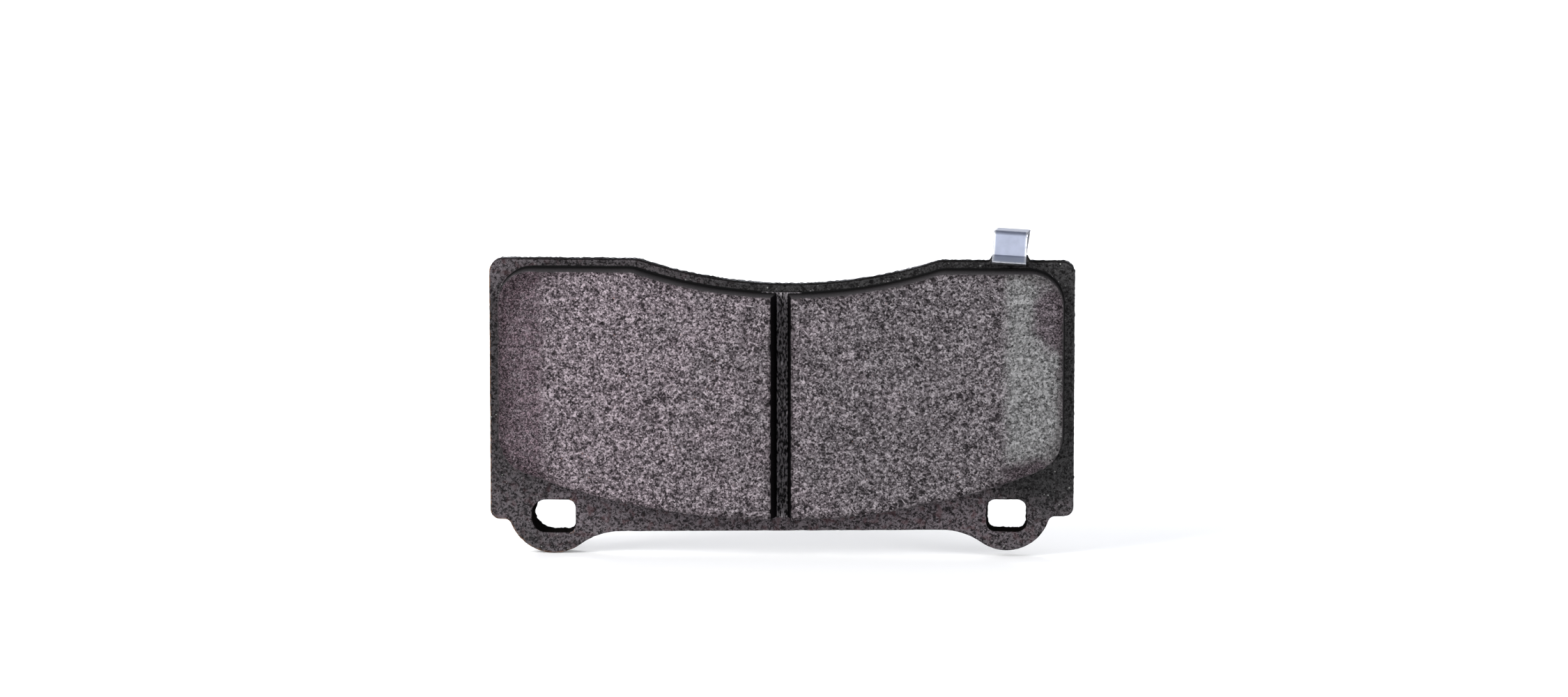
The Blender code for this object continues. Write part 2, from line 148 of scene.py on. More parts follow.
class PadColours(bpy.types.PropertyGroup):
    """Colours of the finishes."""

    compound: colour_property("Compound", "Binder between the compound's grains",
                              (0.0620, 0.0545, 0.0588))
    compound_light: colour_property("Compound grains", "Light grains in the compound",
                                    (0.219, 0.200, 0.210))
    lead_in: colour_property("Glazed lead-in", "Pale smooth patch on the right lead-in",
                             (0.126, 0.1255, 0.1255))
    skin: colour_property("Moulded skin", "Side walls of the compound", (0.043, 0.040, 0.0415))
    paint: colour_property("Plate paint", "Black paint on the plate", (0.0216, 0.0211, 0.0214))
    # its amount on the plate is partly painted fill light, lifting the shade under the blocks
    bare: colour_property("Scorched paint", "Brownish paint on the plate's lower edge",
                          (0.074, 0.0640, 0.0700))
    spring: colour_property("Spring steel", "Plated wear indicator", (0.37, 0.40, 0.50))
    stainless: colour_property("Stainless steel", "Outer shim", (0.58, 0.57, 0.55))
    rubber: colour_property("Rubber", "Coating of the inner shim", (0.018, 0.018, 0.019))
    zinc: colour_property("Zinc", "Plating on the rivets", (0.50, 0.49, 0.46))


class StageSettings(bpy.types.PropertyGroup):
    """Camera, floor and light."""

    distance: FloatProperty(
        name="Camera distance", description="From the camera to the plate's middle",
        default=1.5, min=0.3, max=5.0, unit="LENGTH", subtype="DISTANCE")
    azimuth: FloatProperty(
        name="Camera azimuth", description="Camera's turn round the pad, to its right",
        default=math.radians(3.0), unit="ROTATION", subtype="ANGLE")
    elevation: FloatProperty(
        name="Camera elevation", description="Camera's height above the level",
        default=math.radians(8.0), unit="ROTATION", subtype="ANGLE")
    height: FloatProperty(
        name="Aim height", description="Height of the plate's middle above the pin slots",
        default=31.0 * MM, min=0.0, max=1.0, unit="LENGTH", subtype="DISTANCE", precision=4)
    focal_length: FloatProperty(
        name="Focal length", description="Lens, in millimetres on a 36 mm wide sensor",
        default=133.44, min=20.0, max=300.0)
    floor_size: FloatProperty(
        name="Floor size", description="Side of the square floor",
        default=5.4, min=1.0, max=40.0, unit="LENGTH", subtype="DISTANCE")


# ---------------------------------------------------------------- shader expressions

class Signal:
    """A shader socket that takes part in Python expressions; each operator adds a Math node."""

    def __init__(self, owner, socket):
        self.owner = owner
        self.socket = socket

    def math(self, operation, *values, clamp=False):
        settings = {"operation": operation, "use_clamp": clamp}
        return self.owner.node("ShaderNodeMath", settings, dict(enumerate(values)))

    def __add__(self, other):
        return self.math("ADD", self, other)

    def __sub__(self, other):
        return self.math("SUBTRACT", self, other)

    def __rsub__(self, other):
        return self.math("SUBTRACT", other, self)

    def __mul__(self, other):
        return self.math("MULTIPLY", self, other)

    def __truediv__(self, other):
        return self.math("DIVIDE", self, other)

    __radd__ = __add__
    __rmul__ = __mul__

    def clamped(self):
        return self.math("ADD", self, 0.0, clamp=True)

    def less_than(self, limit):
        return self.math("LESS_THAN", self, limit)

    def between(self, low, high):
        """Rises smoothly from 0 at low to 1 at high; low may be the larger."""
        settings = {"interpolation_type": "SMOOTHSTEP"}
        sockets = {"Value": self, "From Min": low, "From Max": high}
        if low > high:
            sockets = {"Value": self, "From Min": high, "From Max": low, "To Min": 1.0, "To Max": 0.0}
        return self.owner.node("ShaderNodeMapRange", settings, sockets)

    def also(self, output):
        """Another output of the node that this one comes from."""
        return Signal(self.owner, self.socket.node.outputs[output])


class NodeTree:
    """A node tree whose nodes are placed by expressions."""

    def __init__(self, tree):
        self.tree = tree

    def node(self, kind, settings=None, sockets=None, output=0):
        """Adds a node: first its settings, then values or signals for its sockets."""
        made = self.tree.nodes.new(kind)
        made.location = (-220.0 * (len(self.tree.nodes) % 12), -180.0 * (len(self.tree.nodes) // 12))
        for name, value in (settings or {}).items():
            if name == "stops":
                set_stops(made.color_ramp, value)
            else:
                setattr(made, name, value)
        for name, value in (sockets or {}).items():
            if isinstance(value, Signal):
                self.tree.links.new(value.socket, made.inputs[name])
            else:
                made.inputs[name].default_value = value
        return Signal(self, made.outputs[output])

    def blend_of(self, value, stops):
        """The colour that a ramp with these (place, colour) stops has at a value."""
        return self.node("ShaderNodeValToRGB", {"stops": stops}, {0: value})

    def fill(self, shader, values):
        """Links a shader's sockets to signals, and sets the ones that don't vary."""
        for name, value in values.items():
            if isinstance(value, Signal):
                self.tree.links.new(value.socket, shader.inputs[name])
            else:
                shader.inputs[name].default_value = value


class Finish(NodeTree):
    """One material. Lengths are in metres on the piece."""

    def __init__(self, name):
        self.material = bpy.data.materials.new(name)
        self.material.use_nodes = True
        super().__init__(self.material.node_tree)
        self.place = self.node("ShaderNodeTexCoord", output="Object")

    def axis(self, name):
        """The piece's own X, Y or Z at each point."""
        return self.node("ShaderNodeSeparateXYZ", None, {0: self.place}, name)

    def mark(self, name):
        """A value that the mesh carries at its points, such as how deep a pit is."""
        return self.node("ShaderNodeAttribute", {"attribute_name": name}, None, "Fac")

    def mix(self, factor, first, second, blend="MIX"):
        """Goes from the first colour to the second as the factor goes from 0 to 1."""
        settings = {"data_type": "RGBA", "blend_type": blend}
        sockets = {0: factor, 6: shade(first), 7: shade(second)}
        return self.node("ShaderNodeMix", settings, sockets, 2)

    def stretched(self, across, through, up, place=None):
        """Coordinates with each axis scaled, for marks that are longer one way."""
        return self.node("ShaderNodeVectorMath", {"operation": "MULTIPLY"},
                         {0: place or self.place, 1: (across, through, up)})

    def turned(self, angle):
        """The piece's coordinates turned about Y."""
        return self.node("ShaderNodeVectorRotate", {"rotation_type": "Y_AXIS"},
                         {"Vector": self.place, "Angle": angle})

    def warped(self, size, reach, place=None):
        """Coordinates pushed about by noise, so that spots lose their round outline."""
        place = place or self.place
        push = self.node("ShaderNodeTexNoise", None,
                         {"Vector": place, "Scale": 1 / size, "Detail": 1.0}, "Color")
        push = self.node("ShaderNodeVectorMath", {"operation": "SUBTRACT"},
                         {0: push, 1: (0.5, 0.5, 0.5)})
        push = self.node("ShaderNodeVectorMath", {"operation": "SCALE"},
                         {0: push, "Scale": reach})
        return self.node("ShaderNodeVectorMath", {"operation": "ADD"}, {0: place, 1: push})

    def grain(self, size, detail=2.0, place=None, rough=0.5):
        """Soft noise with patches about as large as the size, from 0 to 1 round one half."""
        return self.node("ShaderNodeTexNoise", None,
                         {"Vector": place or self.place, "Scale": 1 / size, "Detail": detail,
                          "Roughness": rough}, 0)

    def flakes(self, size, place=None):
        """An even random value from 0 to 1 in each cell of this size."""
        cells = self.node("ShaderNodeTexVoronoi", None,
                          {"Vector": place or self.place, "Scale": 1 / size}, "Color")
        return self.node("ShaderNodeSeparateColor", None, {0: cells}, 0)

    def specks(self, size, share, radius, soft=0.12, place=None):
        """1 on scattered spots: a share of the cells of this size hold one, of up to this radius.

        Radius and softness are in cells.
        """
        distance = self.node("ShaderNodeTexVoronoi", None,
                             {"Vector": place or self.place, "Scale": 1 / size}, "Distance")
        chance = self.node("ShaderNodeSeparateColor", None, {0: distance.also("Color")}, 0)
        reach = radius * (0.45 + 0.55 * chance.also(1))
        spot = ((reach - distance) / soft).clamped()
        return spot * chance.less_than(share)

    def relief(self, height, depth, strength):
        """A Bump node for a height from 0 to 1 that stands for the depth in metres."""
        sockets = {"Strength": strength, "Distance": depth, "Height": height}
        return self.node("ShaderNodeBump", None, sockets)

    def finished(self, colour, roughness, normal, others):
        """The material, once its shader has these values."""
        values = {"Base Color": colour, "Roughness": roughness, "Normal": normal, **others}
        self.fill(self.tree.nodes["Principled BSDF"], values)
        return self.material


def set_stops(ramp, stops):
    """Gives a colour ramp its (place, colour) stops."""
    while len(ramp.elements) < len(stops):
        ramp.elements.new(0.5)
    for element, (place, colour) in zip(ramp.elements, stops):
        element.position = place
        element.color = shade(colour)


def shade(colour):
    """A colour as a shader socket takes it: three parts get an alpha, anything else stays."""
    if isinstance(colour, (Signal, float, int)):
        return colour
    return (*colour, 1.0) if len(colour) == 3 else tuple(colour)


# ---------------------------------------------------------------- mesh work

def spacing():
    return bpy.context.scene.pad_sizes.spacing * 1.0


def solid_of(node):
    """The CAD solid as a bmesh with whole flat faces."""
    solid = bmesh.new()
    solid.from_mesh(frame["nodes"][node].data)
    bmesh.ops.remove_doubles(solid, verts=solid.verts, dist=0.002 * MM)
    bmesh.ops.dissolve_limit(solid, angle_limit=math.radians(0.3), verts=solid.verts,
                             edges=solid.edges)
    return solid


def sharp_edges(solid, angle=25.0):
    """The edges whose two faces turn by more than an angle in degrees."""
    limit = math.radians(angle)
    return [e for e in solid.edges if len(e.link_faces) == 2 and e.calc_face_angle() > limit]


def rim_tree(edges, step=0.3 * MM):
    """Points along the edges, to find how far a vertex is from the nearest one."""
    points = []
    for edge in edges:
        start, end = (v.co.copy() for v in edge.verts)
        count = max(1, int((end - start).length / step))
        points += [start.lerp(end, i / count) for i in range(count + 1)]
    tree = KDTree(len(points))
    for i, point in enumerate(points):
        tree.insert(point, i)
    tree.balance()
    return tree


def round_edges(solid, edges, radius):
    """Rounds the edges with two facets each."""
    bmesh.ops.bevel(solid, geom=edges, offset=radius, offset_type="OFFSET", segments=2,
                    profile=0.5, affect="EDGES", clamp_overlap=False)


def cut_strips(solid, faces, axis, start, step, first, last):
    """Cuts faces across one axis at every step from the start, between two counts of steps."""
    if last - first < 2 or not faces:
        return faces
    middle = (first + last) // 2
    point, normal = Vector((0, 0, 0)), Vector((0, 0, 0))
    point[axis], normal[axis] = start + middle * step, 1.0
    edges = dict.fromkeys(e for f in faces for e in f.edges)
    corners = dict.fromkeys(v for f in faces for v in f.verts)
    made = bmesh.ops.bisect_plane(solid, geom=[*faces, *edges, *corners], plane_co=point,
                                  plane_no=normal, dist=1e-7)
    parts = [g for g in made["geom"] if isinstance(g, bmesh.types.BMFace)]
    below = [f for f in parts if f.calc_center_median()[axis] < point[axis]]
    above = [f for f in parts if f.calc_center_median()[axis] >= point[axis]]
    return (cut_strips(solid, below, axis, start, step, first, middle)
            + cut_strips(solid, above, axis, start, step, middle, last))


def cut_grid(solid, step, shows=None):
    """Cuts the faces into a grid, fine where they show and coarse elsewhere."""
    faces = solid.faces[:]
    for width in ((HIDDEN_STEP, step) if shows else (step,)):
        for axis in (0, 2, 1):
            low = min(v.co[axis] for v in solid.verts)
            high = max(v.co[axis] for v in solid.verts)
            faces = cut_strips(solid, faces, axis, low, width, 0, math.ceil((high - low) / width))
        if width == HIDDEN_STEP and shows:
            faces = [f for f in faces if shows(f.calc_center_median())]
    bmesh.ops.remove_doubles(solid, verts=solid.verts, dist=step / 10)
    crowded = [f for f in solid.faces if len(f.verts) > 4]
    bmesh.ops.triangulate(solid, faces=crowded)
    bmesh.ops.recalc_face_normals(solid, faces=solid.faces)
    solid.normal_update()


def bumps(point, size, seed=0.0):
    """Smooth noise from -1 to 1 with features about as large as the size."""
    return noise.noise(point / size + Vector((seed, 0.37 * seed, 1.7 * seed)))


def ramp(value, low, high):
    """0 below low, 1 above high, and straight between; low may be the larger."""
    return min(max((value - low) / (high - low), 0.0), 1.0)


def piece_of(solid, name, node, material, marks=None):
    """Turns a worked solid into the piece that stands for a CAD node."""
    mesh = bpy.data.meshes.new(name)
    solid.to_mesh(mesh)
    solid.free()
    for mark, values in (marks or {}).items():
        mesh.attributes.new(mark, "FLOAT", "POINT").data.foreach_set("value", values)
    mesh.shade_smooth()
    mesh.materials.append(material)
    piece = bpy.data.objects.new(name, mesh)
    bpy.context.scene.collection.objects.link(piece)
    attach(piece, "root")
    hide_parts(node)
    return piece


# ---------------------------------------------------------------- finishes

def compound_patterns(finish):
    """The patterns that all the looks of the compound's face share."""
    loose = finish.warped(0.4 * MM, 0.35 * MM)
    fine = finish.grain(0.19 * MM, 3.0, loose, 0.7)
    patch = finish.grain(1.5 * MM, 2.0, loose)
    level = (finish.flakes(0.37 * MM, loose) * 0.68 + finish.flakes(0.64 * MM, loose) * 0.36
             + (fine - 0.5) * 0.9 + (patch - 0.5) * 0.5 - 0.02)
    across = finish.axis("X")
    return SimpleNamespace(
        loose=loose, fine=fine, patch=patch, level=level, across=across,
        to_right=across.between(20 * MM, 50 * MM),
        dust=finish.specks(0.95 * MM, 0.5, 0.42, 0.12, loose),
        holes=finish.specks(1.45 * MM, 0.5, 0.31, 0.08, loose),
        black=finish.specks(0.85 * MM, 0.40, 0.45, 0.1, loose),
        white=finish.specks(1.2 * MM, 0.3, 0.26, 0.1, loose))


def ground_colour(finish, on, base, bright):
    """The ground face: grains, pits, copper flecks and fibres, calmer to the right."""
    colour = finish.blend_of(on.level, [(0.0, base * 0.12), (0.26, base * 0.3), (0.40, base * 0.95),
                                        (0.62, base * 1.55), (0.76, bright * 0.8),
                                        (1.0, bright * 1.25)])
    calm = 1.0 - 0.45 * on.across.between(0.0, 45 * MM)
    colour = finish.mix(on.dust * calm * 0.78, colour, base * 0.16)
    colour = finish.mix(on.holes * calm * 0.8, colour, base * 0.14)
    colour = finish.mix(finish.mark("pit").between(0.1, 0.7) * 0.7, colour, base * 0.16)
    flakes = finish.specks(1.0 * MM, 0.22, 0.25, 0.1, on.loose)
    colour = finish.mix(flakes * 0.75, colour, bright * 1.5)
    flecks = finish.specks(1.7 * MM, 0.26, 0.17, 0.09, on.loose)
    colour = finish.mix(flecks * 0.7, colour, COPPER)
    for angle, size in ((0.5, 2.1 * MM), (-0.9, 2.8 * MM)):
        along = finish.stretched(0.9, 1.0, 6.5, finish.turned(angle))
        fibres = finish.specks(size, 0.02, 0.5, 0.15, along)
        colour = finish.mix(fibres * 0.7, colour, bright * 1.5)
    coarse = on.across.between(-28 * MM, -56 * MM)
    colour = finish.mix(on.black * coarse * 0.92, colour, base * 0.1)
    colour = finish.mix(on.white * coarse * 0.5, colour, bright * 1.6)
    # the face is made lighter, with a slight tint, towards the left, in broad patches
    lighter_to_left = (finish.grain(9 * MM, 2.0) - on.across * 9.0).between(0.2, 1.0)
    return finish.mix(lighter_to_left, colour, (1.42, 1.33, 1.37), "MULTIPLY")


def dull_colour(finish, on, base, bright):
    """The dull powdery face of the lead-ins, purplish on the left."""
    powder = (finish.flakes(0.30 * MM, on.loose) * 0.9 + (on.fine - 0.5) * 1.3
              + (on.patch - 0.5) * 0.35 + 0.05)
    colour = finish.blend_of(powder, [(0.0, base * 0.08), (0.28, base * 0.5), (0.55, base * 1.3),
                                      (1.0, bright * 1.15)])
    purple = finish.mix(finish.flakes(0.8 * MM, on.loose), (0.80, 0.73, 0.77), (0.88, 0.71, 0.78))
    tint = finish.mix(on.to_right, purple, (0.90, 0.84, 0.88))
    colour = finish.mix(1.0, colour, tint, "MULTIPLY")
    return finish.mix(on.dust * 0.45, colour, base * 0.22)


def glazed_colour(finish, on, base, glazing):
    """The pale glazed patch, with the same grains showing through."""
    colour = finish.blend_of(on.level, [(0.0, glazing * 0.15), (0.28, glazing * 0.6),
                                        (0.55, glazing * 1.2), (1.0, glazing * 2.3)])
    return finish.mix((on.holes * 0.7 + on.dust * 0.4).clamped(), colour, base * 0.2)


def skin_colour(finish, skin):
    """The moulded side walls, with painted shade darkening them towards the plate."""
    colour = finish.mix(finish.grain(0.5 * MM), skin * 0.6, skin * 1.4)
    # painted shade: the walls go near black towards their roots at the plate, where shade falls in the
    # crevice
    shaded = finish.axis("Y").between(FACE_Y, FACE_Y * 0.22)
    return finish.mix(shaded * 0.96, colour, SHADE)


def compound_finish():
    """Friction compound: ground face, dull and glazed lead-ins, grime, and moulded side walls with
    painted shade.
    """
    colours = bpy.context.scene.pad_colours
    base, bright = colours.compound, colours.compound_light
    finish = Finish("ground_compound")
    on = compound_patterns(finish)
    dull, glaze = finish.mark("dull"), finish.mark("glaze")

    colour = ground_colour(finish, on, base, bright)
    colour = finish.mix(dull * 0.9, colour, dull_colour(finish, on, base, bright))
    colour = finish.mix(dull * on.black * (0.5 + 0.4 * on.to_right), colour, base * 0.15)
    colour = finish.mix(dull * on.white * (0.4 + 0.45 * on.to_right), colour, bright * 1.3)
    colour = finish.mix(glaze * 0.92, colour, glazed_colour(finish, on, base, colours.lead_in))
    colour = finish.mix(finish.mark("dirt") * 0.8, colour, (0.42, 0.395, 0.40), "MULTIPLY")
    colour = finish.mix(finish.mark("ground"), skin_colour(finish, colours.skin), colour)
    # painted shade: the walls facing into the groove go near black
    colour = finish.mix(finish.mark("groove"), colour, NEAR_BLACK_AND_SHADE)

    roughness = 0.66 + 0.28 * on.fine - 0.1 * glaze
    height = on.fine * 0.7 - on.holes * 0.6 - on.dust * 0.4 + on.level * 0.4
    grit = finish.relief(height, 0.12 * MM, 0.8)
    return finish.finished(colour, roughness, grit, {"Specular IOR Level": 0.0})


def scorch_and_fill_light(finish):
    """Scorched tint, partly painted fill light: most along the lower edge, less at the left end and top
    left.
    """
    across, up = finish.axis("X"), finish.axis("Z")
    ragged = finish.grain(3.0 * MM, 2.0) - 0.5
    to_right = across.between(42 * MM, 66 * MM)
    # painted fill light: the band is strongest along the plate's lower edge below the blocks, lifting
    # the shade they cast there
    low_down = (up + ragged * 16 * MM + to_right * 13 * MM).between(22 * MM, 2 * MM)
    to_left = (across + ragged * 10 * MM).between(-58 * MM, -70 * MM)
    off_corner = across.between(-66 * MM, -56 * MM)
    brown_and_fill_light = low_down * (0.46 + 0.45 * off_corner) + to_left * 0.26 * (1.0 - low_down)
    # less towards the ears' bottoms, where the blocks cast no shade to lift
    brown_and_fill_light = brown_and_fill_light * (1.0 - 0.45 * up.between(-1 * MM, -7 * MM))
    return brown_and_fill_light + 0.30 * up.between(54 * MM, 61 * MM) * across.between(0.0, -40 * MM)


def paint_finish():
    """Black paint over blasted steel: speckled, a lighter scorched tint low down that is partly painted
    fill light, bare where it is sheared.
    """
    colours = bpy.context.scene.pad_colours
    finish = Finish("plate_paint")
    torn, wall = finish.mark("torn"), finish.mark("wall")
    brown_and_fill_light = scorch_and_fill_light(finish)

    fine = finish.grain(0.25 * MM, 3.0, None, 0.65)
    coarse = finish.flakes(0.44 * MM, finish.warped(0.4 * MM, 0.4 * MM))
    level = fine * 0.7 + coarse * 0.34 + (finish.grain(1.4 * MM, 2.0) - 0.5) * 0.45 - 0.02
    dark = finish.mix(level.between(0.25, 0.75), colours.paint * 0.25, colours.paint * 2.1)
    bare = finish.mix(level.between(0.34, 0.66), colours.bare * 0.2, colours.bare * 2.05)
    colour = finish.mix(brown_and_fill_light, dark, bare)
    rusty = finish.grain(2.2 * MM, 3.0).between(0.52, 0.66)
    colour = finish.mix(rusty * brown_and_fill_light * 0.6, colour, (0.075, 0.043, 0.047))
    specks = finish.specks(1.3 * MM, 0.4, 0.18, 0.06)
    colour = finish.mix(specks * (0.8 - 0.7 * brown_and_fill_light), colour, (0.27, 0.275, 0.26))
    pits = finish.specks(0.7 * MM, 0.3, 0.35, 0.15)
    colour = finish.mix(pits * 0.6, colour, (0.006, 0.0055, 0.006))

    sheared = finish.grain(0.5 * MM, 4.0, finish.stretched(1.0, 0.35, 1.0), 0.7)
    metal = finish.mix(sheared.between(0.35, 0.65), (0.03, 0.03, 0.032), (0.25, 0.255, 0.27))
    # walls go near black, most inside the pin slots, where it is painted shade
    colour = finish.mix((wall * 0.75).clamped(), colour, (0.0025, 0.0022, 0.002))
    # torn: bare sheared metal, which on the top edge also carries painted light
    colour = finish.mix(torn, colour, metal)
    rust = finish.mark("rust") * finish.grain(1.2 * MM, 3.0).between(0.35, 0.6)
    colour = finish.mix(rust * 0.6, colour, RUST)
    crumbs = finish.specks(0.62 * MM, 0.5, 0.36, 0.15)
    colour = finish.mix(crumbs * finish.mark("crumbs"), colour, (0.27, 0.26, 0.26))

    roughness = (0.45 + 0.35 * fine + 0.1 * brown_and_fill_light + 0.4 * wall).clamped()
    grit = finish.relief(fine * 0.8 - pits * 0.5 + specks * 0.2, 0.1 * MM, 0.7)
    return finish.finished(colour, roughness, grit,
                           {"Specular IOR Level": 0.0, "Metallic": (torn * 0.5).clamped()})


def underlayer_finish():
    """Dark bonding layer, seen on the groove's floor, and painted near black elsewhere as shade in the
    crevice between the plate and the blocks.
    """
    finish = Finish("bonding_layer")
    drawn = finish.stretched(1.0, 1.0, 0.4)
    fine = finish.grain(0.4 * MM, 3.0, drawn, 0.65)
    colour = finish.mix(fine.between(0.42, 0.6), NEAR_BLACK_AND_SHADE, (0.19, 0.175, 0.184))
    grains = finish.specks(0.8 * MM, 0.45, 0.4, 0.2, finish.warped(0.4 * MM, 0.5 * MM, drawn))
    colour = finish.mix(grains * 0.8, colour, (0.52, 0.48, 0.50))
    # painted shade: all but the groove's floor goes near black, for the crevice between the plate and
    # the blocks
    colour = finish.mix(finish.mark("wall"), colour, (0.002, 0.002, 0.002))
    grit = finish.relief(fine + grains * 0.3, 0.15 * MM, 0.8)
    return finish.finished(colour, 0.7 + 0.25 * fine, grit, {"Specular IOR Level": 0.1})


def spring_finish():
    """Bright plated spring steel with rolling lines, faint scratches, painted edge highlights, a
    painted lighter foot and darker cut faces.
    """
    tint = bpy.context.scene.pad_colours.spring
    finish = Finish("spring_steel")
    lines = finish.grain(0.16 * MM, 3.0, finish.stretched(1.0, 0.05, 0.05), 0.6)
    cloud = finish.grain(2.4 * MM, 3.0)
    colour = finish.mix(cloud.between(0.3, 0.7), tint * 0.93, tint * 1.06)
    slanted = finish.stretched(0.12, 1.0, 5.0, finish.turned(0.65))
    scratches = finish.specks(0.7 * MM, 0.2, 0.3, 0.12, slanted)
    colour = finish.mix(scratches * 0.35, colour, (0.9, 0.92, 0.95))
    edge = finish.mark("edge")
    # painted light: the foot's forward faces are made lighter
    colour = finish.mix(finish.mark("foot") * 0.8, colour, (0.62, 0.66, 0.74))
    # painted highlight: a near-white band just inside the rounded edges
    bright = edge * finish.grain(1.6 * MM, 2.0).between(0.25, 0.42)
    colour = finish.mix(bright * 0.9, colour, (0.98, 0.98, 0.98))
    # cut: the darker sheared side faces, and painted shade on the rear leg's inner face
    cut = finish.mark("cut")
    colour = finish.mix(cut * 0.85, colour, (0.12, 0.125, 0.14))
    roughness = 0.24 + 0.14 * cloud + 0.1 * lines + 0.25 * cut
    relief = finish.relief(lines + scratches * 0.5, 0.012 * MM, 0.5)
    return finish.finished(colour, roughness, relief, {"Metallic": 1.0})


def stainless_finish():
    """Brushed stainless steel with fine lines along the pad and a few rub marks."""
    tint = bpy.context.scene.pad_colours.stainless
    finish = Finish("brushed_stainless")
    lines = finish.grain(0.22 * MM, 4.0, finish.stretched(0.03, 1.0, 1.0), 0.7)
    cloud = finish.grain(11 * MM, 3.0)
    colour = finish.mix(lines.between(0.25, 0.75), tint * 0.82, tint * 1.08)
    rubs = finish.grain(5 * MM, 4.0, None, 0.7).between(0.58, 0.72)
    colour = finish.mix(rubs * 0.3, colour, (0.3, 0.29, 0.28))
    roughness = 0.26 + 0.16 * lines + 0.14 * cloud + 0.1 * rubs
    relief = finish.relief(lines, 0.01 * MM, 0.5)
    return finish.finished(colour, roughness, relief, {"Metallic": 1.0})


def rubber_finish():
    """Black rubber coating with a fine orange-peel surface and pale dust."""
    tint = bpy.context.scene.pad_colours.rubber
    finish = Finish("shim_rubber")
    peel = finish.grain(0.35 * MM, 2.0)
    dust = finish.grain(3.0 * MM, 4.0, None, 0.7).between(0.55, 0.8)
    colour = finish.mix(dust * 0.35, tint, (0.11, 0.105, 0.10))
    return finish.finished(colour, 0.55 + 0.2 * dust + 0.1 * peel,
                           finish.relief(peel, 0.04 * MM, 0.6), {"Specular IOR Level": 0.45})


def zinc_finish():
    """Zinc-plated rivet head with a cloudy surface and dark marks from the forming tool."""
    tint = bpy.context.scene.pad_colours.zinc
    finish = Finish("zinc_plating")
    cloud = finish.grain(0.9 * MM, 3.0, None, 0.6)
    marks = finish.specks(0.8 * MM, 0.3, 0.35)
    colour = finish.mix(cloud.between(0.3, 0.7), tint * 0.75, tint * 1.12)
    colour = finish.mix(marks * 0.45, colour, (0.12, 0.115, 0.11))
    return finish.finished(colour, 0.34 + 0.2 * cloud + 0.1 * marks,
                           finish.relief(cloud - marks * 0.5, 0.03 * MM, 0.6), {"Metallic": 1.0})


def floor_finish():
    """Plain pale studio floor, a little uneven, that glows: faintly near the pad, which lifts the
    shadow under the ears, and more where the lamps hardly reach.
    """
    finish = Finish("studio_floor")
    cloud = finish.grain(0.4, 2.0)
    colour = finish.mix(cloud, (0.90, 0.90, 0.90), (0.93, 0.93, 0.93))
    smooth = finish.relief(cloud, 0.2 * MM, 0.2)
    distance = finish.node("ShaderNodeVectorMath", {"operation": "LENGTH"}, {0: finish.place},
                           "Value")
    glow = finish.mix(distance.between(*FLOOR_FADE), (0.3, 0.3, 0.3), (1.0, 1.0, 1.0))
    return finish.finished(colour, 0.8 + 0.1 * cloud, smooth,
                           {"Specular IOR Level": 0.1, "Emission Color": glow,
                            "Emission Strength": 0.3})


# ---------------------------------------------------------------- pieces

def uncovered_on_plate():
    """A test for where the plate shows: not deep under the compound, nor under the shims."""
    pad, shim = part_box("underlayer"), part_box("inner_shim")
    middle = (PLATE_LOW.y + PLATE_HIGH.y) / 2
    wall = 0.5 * MM
    side_margin, low_margin, top_margin = 6 * MM, 16 * MM, 12 * MM

    def shows(point):
        low, high = pad if point.y < middle else shim
        if wall < point.y < PLATE_HIGH.y - wall:
            return True
        covered = (low.x + side_margin < point.x < high.x - side_margin
                   and low.z + low_margin < point.z < high.z - top_margin)
        return not covered

    return shows


def mould_rim():
    """A tree of the line where the compound's mould met the plate."""
    mould = solid_of("underlayer")
    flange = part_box("underlayer")[0].y / 2
    rim = rim_tree([edge for edge in sharp_edges(mould)
                    if max(v.co.y for v in edge.verts) < PLATE_LOW.y
                    and min(v.co.y for v in edge.verts) > flange])
    mould.free()
    return rim


def within_slot(point, margin=3 * MM):
    """Whether a point lies in or round a pin slot."""
    return any(low.x - margin < point.x < high.x + margin and low.z - margin < point.z < high.z + margin
               for low, high in PIN_SLOTS)


def worn_slot_end(point, streak, depth):
    """How far the left slot's worn end is pushed into the slot: most at its lower corner."""
    low, high = PIN_SLOTS[0]
    worn_end = ramp(point.x, low.x + 4 * MM, low.x) * depth
    ragged = bumps(streak, 1.3 * MM, 17.0) + 0.5 * bumps(streak, 0.5 * MM, 19.0)
    low_end = ramp(point.z, (low.z + high.z) / 2, low.z)
    return MM * worn_end * max(0.0, 0.12 + 0.72 * low_end + 0.3 * ragged)


